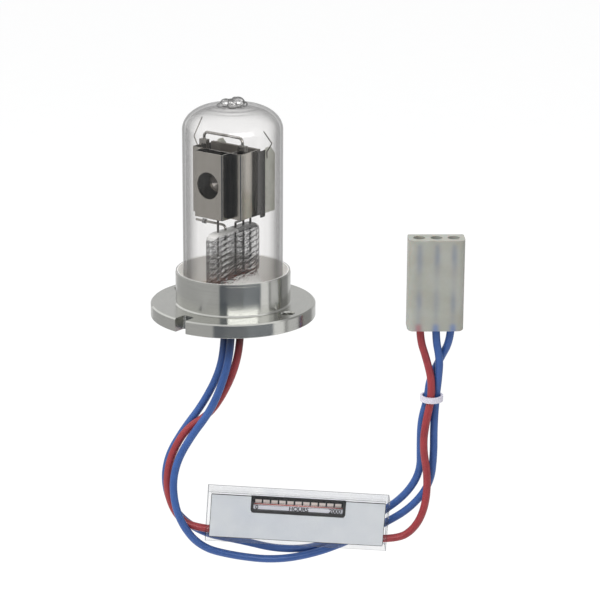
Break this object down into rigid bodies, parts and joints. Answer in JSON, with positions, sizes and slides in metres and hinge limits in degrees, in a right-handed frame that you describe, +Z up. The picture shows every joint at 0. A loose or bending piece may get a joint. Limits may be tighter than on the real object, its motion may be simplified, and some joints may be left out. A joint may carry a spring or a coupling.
{
  "type": "deuterium lamp",
  "caption": "Sealed glass arc lamp with an open electrode box, cemented in an aluminium alignment flange, with an hour meter and a nylon plug on its leads",
  "frame": {"origin": "middle of the flange's seating face, on the lamp's axis", "axes": "+Z up the bulb; the light leaves along -Y, over the slot; the two screw holes lie on X"},
  "size_m": [0.081, 0.0716, 0.1505],
  "materials": {
    "nickel_sheet": "annealed nickel sheet and wire, grey-brown with a soft shine",
    "blue_insulation": "smooth blue lead insulation",
    "red_insulation": "smooth red lead insulation",
    "clear_case": "clear moulded case",
    "grey_plate": "light grey face plate, bare",
    "black_frame": "black dial frame",
    "white_scale": "white scale plate",
    "capillary_glass": "glass capillary",
    "column_metal": "metal thread of the indicator",
    "tab_brass": "tinned brass solder tabs",
    "resistor_body": "small resistor",
    "natural_nylon": "natural nylon, slightly see-through",
    "tinned_contact": "tinned contact",
    "turned_aluminium": "fine turned aluminium",
    "white_cement": "lamp cement",
    "silicone": "pale silicone bushing",
    "bulb_glass": "clear lamp glass",
    "copper_clad": "copper-clad seal wire",
    "coated_coil": "oxide-coated tungsten coil",
    "alumina": "alumina wall",
    "molybdenum": "molybdenum plate"
  },
  "bodies": {
    "root": {"window_box": "nickel_sheet", "shield_box": "nickel_sheet", "focus_aperture": "nickel_sheet", "cathode_partition": "nickel_sheet", "back_shield": "nickel_sheet", "bridge_rod": "nickel_sheet", "bridge_clip_left": "nickel_sheet", "bridge_clip_right": "nickel_sheet", "support_rod": "nickel_sheet", "centring_spring_right": "nickel_sheet", "centring_spring_left": "nickel_sheet", "lead_front": "nickel_sheet", "lead_cathode": "nickel_sheet", "lead_anode": "nickel_sheet", "lead_rear": "nickel_sheet", "blue_wire_outer": "blue_insulation", "blue_wire_inner": "blue_insulation", "red_wire_lamp_side": "red_insulation", "red_wire_plug_side": "red_insulation", "meter_cover": "clear_case", "meter_back": "clear_case", "meter_face": "grey_plate", "dial_frame": "black_frame", "dial_scale": "white_scale", "indicator_tube": "capillary_glass", "indicator_column": "column_metal", "meter_tab_left": "tab_brass", "meter_tab_right": "tab_brass", "meter_resistor": "resistor_body", "plug_housing": "natural_nylon", "plug_contact_1": "tinned_contact", "plug_contact_2": "tinned_contact", "plug_contact_3": "tinned_contact", "cable_tie": "natural_nylon", "flange_base": "turned_aluminium", "base_cement": "white_cement", "lead_bushing": "silicone", "glass_envelope": "bulb_glass", "glass_stem": "bulb_glass", "lead_tails": "copper_clad", "cathode_coil": "coated_coil", "ceramic_wall": "alumina", "anode_plate": "molybdenum", "support_bead": "bulb_glass"}
  },
  "joints": []
}
